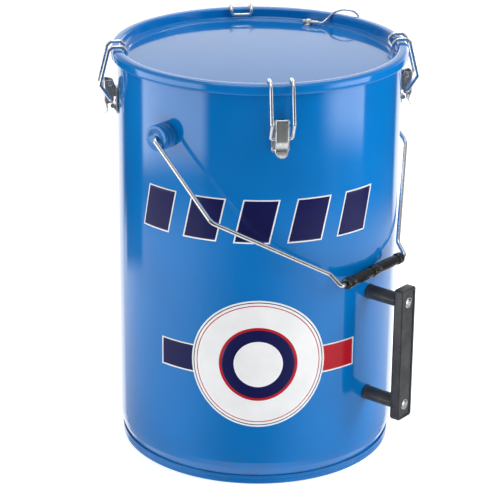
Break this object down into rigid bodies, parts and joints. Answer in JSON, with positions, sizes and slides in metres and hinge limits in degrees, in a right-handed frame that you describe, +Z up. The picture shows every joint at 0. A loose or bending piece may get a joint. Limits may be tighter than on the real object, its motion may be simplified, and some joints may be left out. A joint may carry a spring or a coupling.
{
  "type": "steel drum",
  "caption": "Upright steel drum with a recessed lid clamped by over-centre wire latches, a swinging wire bail with a turning grip, and a fixed tipping handle low on the wall.",
  "frame": {"origin": "drum axis at floor level, centre of the chime's foot", "axes": "+Z up along the drum axis; the latches face -Y, +X, +Y and -X"},
  "size_m": [0.3518, 0.3489, 0.4565],
  "materials": {
    "blue_enamel": "gloss",
    "blue_enamel_lid": "gloss",
    "zinc": "bright zinc plate",
    "bright_wire": "bright drawn wire",
    "grip_plastic": "gloss",
    "handle_plastic": "satin, fine grain",
    "black_rubber": "matt"
  },
  "bodies": {
    "drum": {"drum_shell": "blue_enamel", "drum_bottom": "blue_enamel", "lid": "blue_enamel_lid", "lid_gasket": "black_rubber", "bail_ear_front": "blue_enamel", "bail_ear_rear": "blue_enamel", "handle_bar": "handle_plastic", "handle_post_lower": "handle_plastic", "handle_post_upper": "handle_plastic", "handle_screw_lower": "zinc", "handle_screw_upper": "zinc", "latch_base_1": "zinc", "latch_pin_1": "zinc", "latch_rivet_1_lower": "zinc", "latch_rivet_1_upper": "zinc", "latch_base_2": "zinc", "latch_pin_2": "zinc", "latch_rivet_2_lower": "zinc", "latch_rivet_2_upper": "zinc", "latch_base_3": "zinc", "latch_pin_3": "zinc", "latch_rivet_3_lower": "zinc", "latch_rivet_3_upper": "zinc", "latch_base_4": "zinc", "latch_pin_4": "zinc", "latch_rivet_4_lower": "zinc", "latch_rivet_4_upper": "zinc", "tether_wire": "bright_wire", "tether_ferrule_lid": "zinc", "tether_ferrule_wall": "zinc", "tether_saddle_lid": "zinc", "tether_saddle_wall": "zinc"},
    "bail": {"bail_wire": "bright_wire"},
    "grip": {"bail_grip": "grip_plastic"},
    "lever_1": {"latch_lever_1": "zinc"},
    "loop_1": {"latch_loop_1": "bright_wire"},
    "lever_2": {"latch_lever_2": "zinc"},
    "loop_2": {"latch_loop_2": "bright_wire"},
    "lever_3": {"latch_lever_3": "zinc"},
    "loop_3": {"latch_loop_3": "bright_wire"},
    "lever_4": {"latch_lever_4": "zinc"},
    "loop_4": {"latch_loop_4": "bright_wire"}
  },
  "joints": [
    {"name": "bail_swing", "type": "hinge", "parent": "drum", "child": "bail", "pos_m": [0, 0, 0.3844], "axis": [-0.723, -0.6909, 0], "range_deg": [0, 267]},
    {"name": "grip_spin", "type": "hinge", "parent": "bail", "child": "grip", "pos_m": [0.10717, -0.12083, 0.23124], "axis": [-0.723, -0.6909, 0], "continuous": true},
    {"name": "lever_1_swing", "type": "hinge", "parent": "drum", "child": "lever_1", "pos_m": [0, -0.16, 0.4109], "axis": [-1, 0, 0], "range_deg": [0, 110]},
    {"name": "loop_1_swing", "type": "hinge", "parent": "lever_1", "child": "loop_1", "pos_m": [0, -0.1603, 0.3939], "axis": [-1, 0, 0], "range_deg": [-75, 0]},
    {"name": "lever_2_swing", "type": "hinge", "parent": "drum", "child": "lever_2", "pos_m": [0.16, 0, 0.4109], "axis": [0, -1, 0], "range_deg": [0, 110]},
    {"name": "loop_2_swing", "type": "hinge", "parent": "lever_2", "child": "loop_2", "pos_m": [0.1603, 0, 0.3939], "axis": [0, -1, 0], "range_deg": [-75, 0]},
    {"name": "lever_3_swing", "type": "hinge", "parent": "drum", "child": "lever_3", "pos_m": [0, 0.16, 0.4109], "axis": [1, 0, 0], "range_deg": [0, 110]},
    {"name": "loop_3_swing", "type": "hinge", "parent": "lever_3", "child": "loop_3", "pos_m": [0, 0.1603, 0.3939], "axis": [1, 0, 0], "range_deg": [-75, 0]},
    {"name": "lever_4_swing", "type": "hinge", "parent": "drum", "child": "lever_4", "pos_m": [-0.16, 0, 0.4109], "axis": [0, 1, 0], "range_deg": [0, 110]},
    {"name": "loop_4_swing", "type": "hinge", "parent": "lever_4", "child": "loop_4", "pos_m": [-0.1603, 0, 0.3939], "axis": [0, 1, 0], "range_deg": [-75, 0]}
  ],
  "couplings": [
    {"joint": "loop_1_swing", "follows": "lever_1_swing", "ratio": -0.68},
    {"joint": "loop_2_swing", "follows": "lever_2_swing", "ratio": -0.68},
    {"joint": "loop_3_swing", "follows": "lever_3_swing", "ratio": -0.68},
    {"joint": "loop_4_swing", "follows": "lever_4_swing", "ratio": -0.68}
  ]
}
